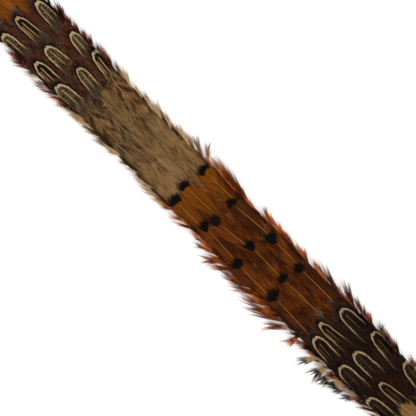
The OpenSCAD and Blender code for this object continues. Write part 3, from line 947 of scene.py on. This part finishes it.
def lathe(mesh, profile, steps=72):
    """Sweeps a closed profile once round the pen's axis."""
    bmesh.ops.spin(mesh, geom=outline(mesh, profile), cent=(0, 0, AXIS_Z), axis=(1, 0, 0),
                   angle=math.tau, steps=steps, use_merge=True)
    bmesh.ops.remove_doubles(mesh, verts=mesh.verts, dist=SAME_SPOT)
    bmesh.ops.recalc_face_normals(mesh, faces=mesh.faces)


def break_edges(mesh, width):
    """Bevels the edges that turn by more than 50 degrees."""
    sharp = [e for e in mesh.edges
             if len(e.link_faces) == 2 and e.calc_face_angle() > math.radians(50)]
    bmesh.ops.bevel(mesh, geom=sharp, offset=width, offset_type="OFFSET", affect="EDGES",
                    segments=2, profile=0.5, material=-1, clamp_overlap=True)


def bead(start, end, radius, swell, points=8):
    """A half-round bead as profile points from start to end."""
    turns = [math.pi * k / points for k in range(points + 1)]
    return [(start + (end - start) * (1 - math.cos(t)) / 2, radius + swell * math.sin(t))
            for t in turns]


def span_of(node):
    """Where a round node starts and ends along the pen, and its radius."""
    low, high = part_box(node)
    return low[0], high[0], (high[2] - low[2]) / 2


mouth_x, shoulder_x, SHOULDER_R = span_of("ferrule")
SOCKET_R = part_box("nib")[1][1] + 0.06 * MM
MOUTH_R = SOCKET_R + 0.5 * MM
SOCKET_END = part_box("nib_core")[1][0] + 0.05 * MM
STUB_START, STUB_END, STUB_R = span_of("screw_stub")
BEAD, GROOVE, FLARE = 0.35 * MM, 0.2 * MM, 0.02 * MM


def on_ferrule(share):
    """The place at this share of the ferrule's length, from its mouth."""
    return mouth_x + (shoulder_x - mouth_x) * share


profile = (
    [(mouth_x, SOCKET_R), (mouth_x, MOUTH_R - 0.05 * MM), (mouth_x + 0.6 * MM, MOUTH_R)]
    + bead(mouth_x + 0.7 * MM, mouth_x + 1.7 * MM, MOUTH_R, BEAD)
    + [(mouth_x + 1.9 * MM, MOUTH_R), (on_ferrule(0.5), MOUTH_R)]
    + bead(on_ferrule(0.525), on_ferrule(0.575), MOUTH_R, BEAD)
    + [(on_ferrule(0.6), MOUTH_R + FLARE), (on_ferrule(0.83), SHOULDER_R - FLARE)]
    + [(on_ferrule(0.87), SHOULDER_R - GROOVE), (on_ferrule(0.89), SHOULDER_R - GROOVE)]
    + [(on_ferrule(0.91), SHOULDER_R), (shoulder_x, SHOULDER_R)]
    + [(shoulder_x, STUB_R), (STUB_START, STUB_R), (STUB_START, 0.0)]
    + [(SOCKET_END, 0.0), (SOCKET_END, SOCKET_R)])
mesh = bmesh.new()
lathe(mesh, profile)
break_edges(mesh, 0.07 * MM)
ring_piece("ferrule_turned", mesh, "ferrule", "brass", "ferrule")

# %% Turn the collar
front, back = span_of("rear_collar")[:2]
COLLAR_BEAD = 0.55 * MM
GROUND_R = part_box("rear_collar")[1][1] - COLLAR_BEAD
HOLE_R = (shaft_high.z - shaft_low.z) / 2 + 0.05 * MM
third = (back - front) / 3
profile = [(front, HOLE_R), (front, GROUND_R)]
for k in range(3):
    profile += bead(front + (k + 0.06) * third, front + (k + 0.94) * third,
                    GROUND_R, COLLAR_BEAD, 10)
profile += [(back, GROUND_R), (back, HOLE_R)]
mesh = bmesh.new()
lathe(mesh, profile)
break_edges(mesh, 0.05 * MM)
ring_piece("rear_collar_turned", mesh, "handle", "brass", "rear_collar")
print("turned the ferrule and the collar")

# %% [markdown]
# ### Wound thread and the screw
# A spin that also moves along its axis draws a screw line. With a small circle it lays thread, and
# with a pointed profile it cuts the screw.

# %% Coil
def coil(mesh, profile, turns, pitch, steps=26):
    """Sweeps a loop of verts and edges along a screw line and closes its two ends."""
    bmesh.ops.spin(mesh, geom=profile, cent=(0, 0, AXIS_Z), axis=(1, 0, 0),
                   dvec=(pitch / steps, 0, 0), angle=math.tau * turns,
                   steps=steps * turns, use_duplicate=False)
    bmesh.ops.holes_fill(mesh, edges=[e for e in mesh.edges if e.is_boundary], sides=0)
    bmesh.ops.recalc_face_normals(mesh, faces=mesh.faces)


def whipping(name, node, pitch):
    """Thread laid side by side over the node's length."""
    start, end, outer = span_of(node)
    thread_r = pitch * 0.53
    turns = int((end - start) / pitch) - 1
    middle = outer - thread_r
    mesh = bmesh.new()
    wind = mesh.verts.layers.float_vector.new("wind")
    spot = Matrix.Translation((start + thread_r, 0, AXIS_Z + middle))
    turned = Matrix.Rotation(math.pi / 2, 4, "X")
    circle = bmesh.ops.create_circle(mesh, cap_ends=False, segments=10, radius=thread_r,
                                     matrix=spot @ turned)
    verts = circle["verts"]
    coil(mesh, verts + list({e for v in verts for e in v.link_edges}), turns, pitch)
    for vert in mesh.verts:
        y, z = vert.co.y, vert.co.z - AXIS_Z
        turn = math.atan2(y, -z) / math.tau + 0.5
        off_r = math.hypot(y, z) - middle
        rough = (vert.co.x - start - thread_r) / pitch
        laps = round(rough - (turn if turn < 1 else 0)) + turn
        off_x = vert.co.x - start - thread_r - laps * pitch
        around = math.atan2(off_x, off_r) / math.tau
        vert[wind] = Vector((laps * math.tau * middle / MM, around, 0))
    ring_piece(name, mesh, "handle", "thread", node)
    return turns


print("turns of thread:", whipping("base_whipping_thread", "base_whipping", 0.62 * MM),
      whipping("tip_whipping_thread", "tip_whipping", 0.42 * MM))

# %% Cut the screw
SCREW_PITCH = 1.0 * MM
ROOT_R = STUB_R - 0.42 * MM
FOOT_R = ROOT_R - 0.04 * MM
FOOT_HALF, CREST_HALF, CHAMFER = 0.46 * MM, 0.05 * MM, 0.3 * MM
PLAIN_END = 0.6 * MM
mesh = bmesh.new()
lathe(mesh, [(STUB_START, 0.0), (STUB_START, ROOT_R), (STUB_END - CHAMFER, ROOT_R),
             (STUB_END, ROOT_R - CHAMFER), (STUB_END, 0.0)], 48)
crest = STUB_START + PLAIN_END
ridge = outline(mesh, [(crest - FOOT_HALF, FOOT_R), (crest - CREST_HALF, STUB_R),
                       (crest + CREST_HALF, STUB_R), (crest + FOOT_HALF, FOOT_R)])
turns = int((STUB_END - STUB_START - 2 * PLAIN_END) / SCREW_PITCH)
coil(mesh, ridge, turns, SCREW_PITCH)
ring_piece("screw_stub_cut", mesh, "ferrule", "brass", "screw_stub")
print("screw:", turns, "turns")

# %% [markdown]
# ## Floor and light
# A plain white floor and large soft lights. The floor glows a little, as a light table does, which
# takes the grey out of the shadow round the feathers.

# %% Floor, world and lamps
FLOOR_SIZE, FLOOR_GLOW, SKY_GLOW = 3.0, 0.3, 0.9
LAMP_SIZE = 1.2
floor_mesh = bmesh.new()
bmesh.ops.create_grid(floor_mesh, x_segments=1, y_segments=1, size=FLOOR_SIZE)
paper = Finish("pale_floor")
x, y, z = paper.split(paper.node("ShaderNodeTexCoord", out=3))
shade = paper.noise(x, y, z, scale=3.0)
floor = add_object("floor", floor_mesh, paper.surface(
    Base_Color=paper.blend(shade, (0.95, 0.95, 0.95, 1), (0.97, 0.97, 0.965, 1)),
    Roughness=0.9, Specular_IOR_Level=0.1,
    Emission_Color=(1.0, 1.0, 1.0, 1.0), Emission_Strength=FLOOR_GLOW))

world = bpy.data.worlds.new("studio")
scene.world = world
world.use_nodes = True
sky = world.node_tree.nodes["Background"]
sky.inputs["Color"].default_value = (1, 1, 1, 1)
sky.inputs["Strength"].default_value = SKY_GLOW


def lamp(name, spot, power):
    """A large square lamp at spot that points at what the camera looks at."""
    light = bpy.data.objects.new(name, bpy.data.lights.new(name, "AREA"))
    light.data.size = LAMP_SIZE
    light.data.energy = power
    light.location = spot
    light.rotation_euler = (aim - Vector(spot)).to_track_quat("-Z", "Y").to_euler()
    scene.collection.objects.link(light)


lamp("key", (0.5, -0.5, 1.3), 4.0)
lamp("fill", (-0.5, 0.6, 1.3), 3.0)
scene.view_settings.view_transform = "Standard"
print("lights set")
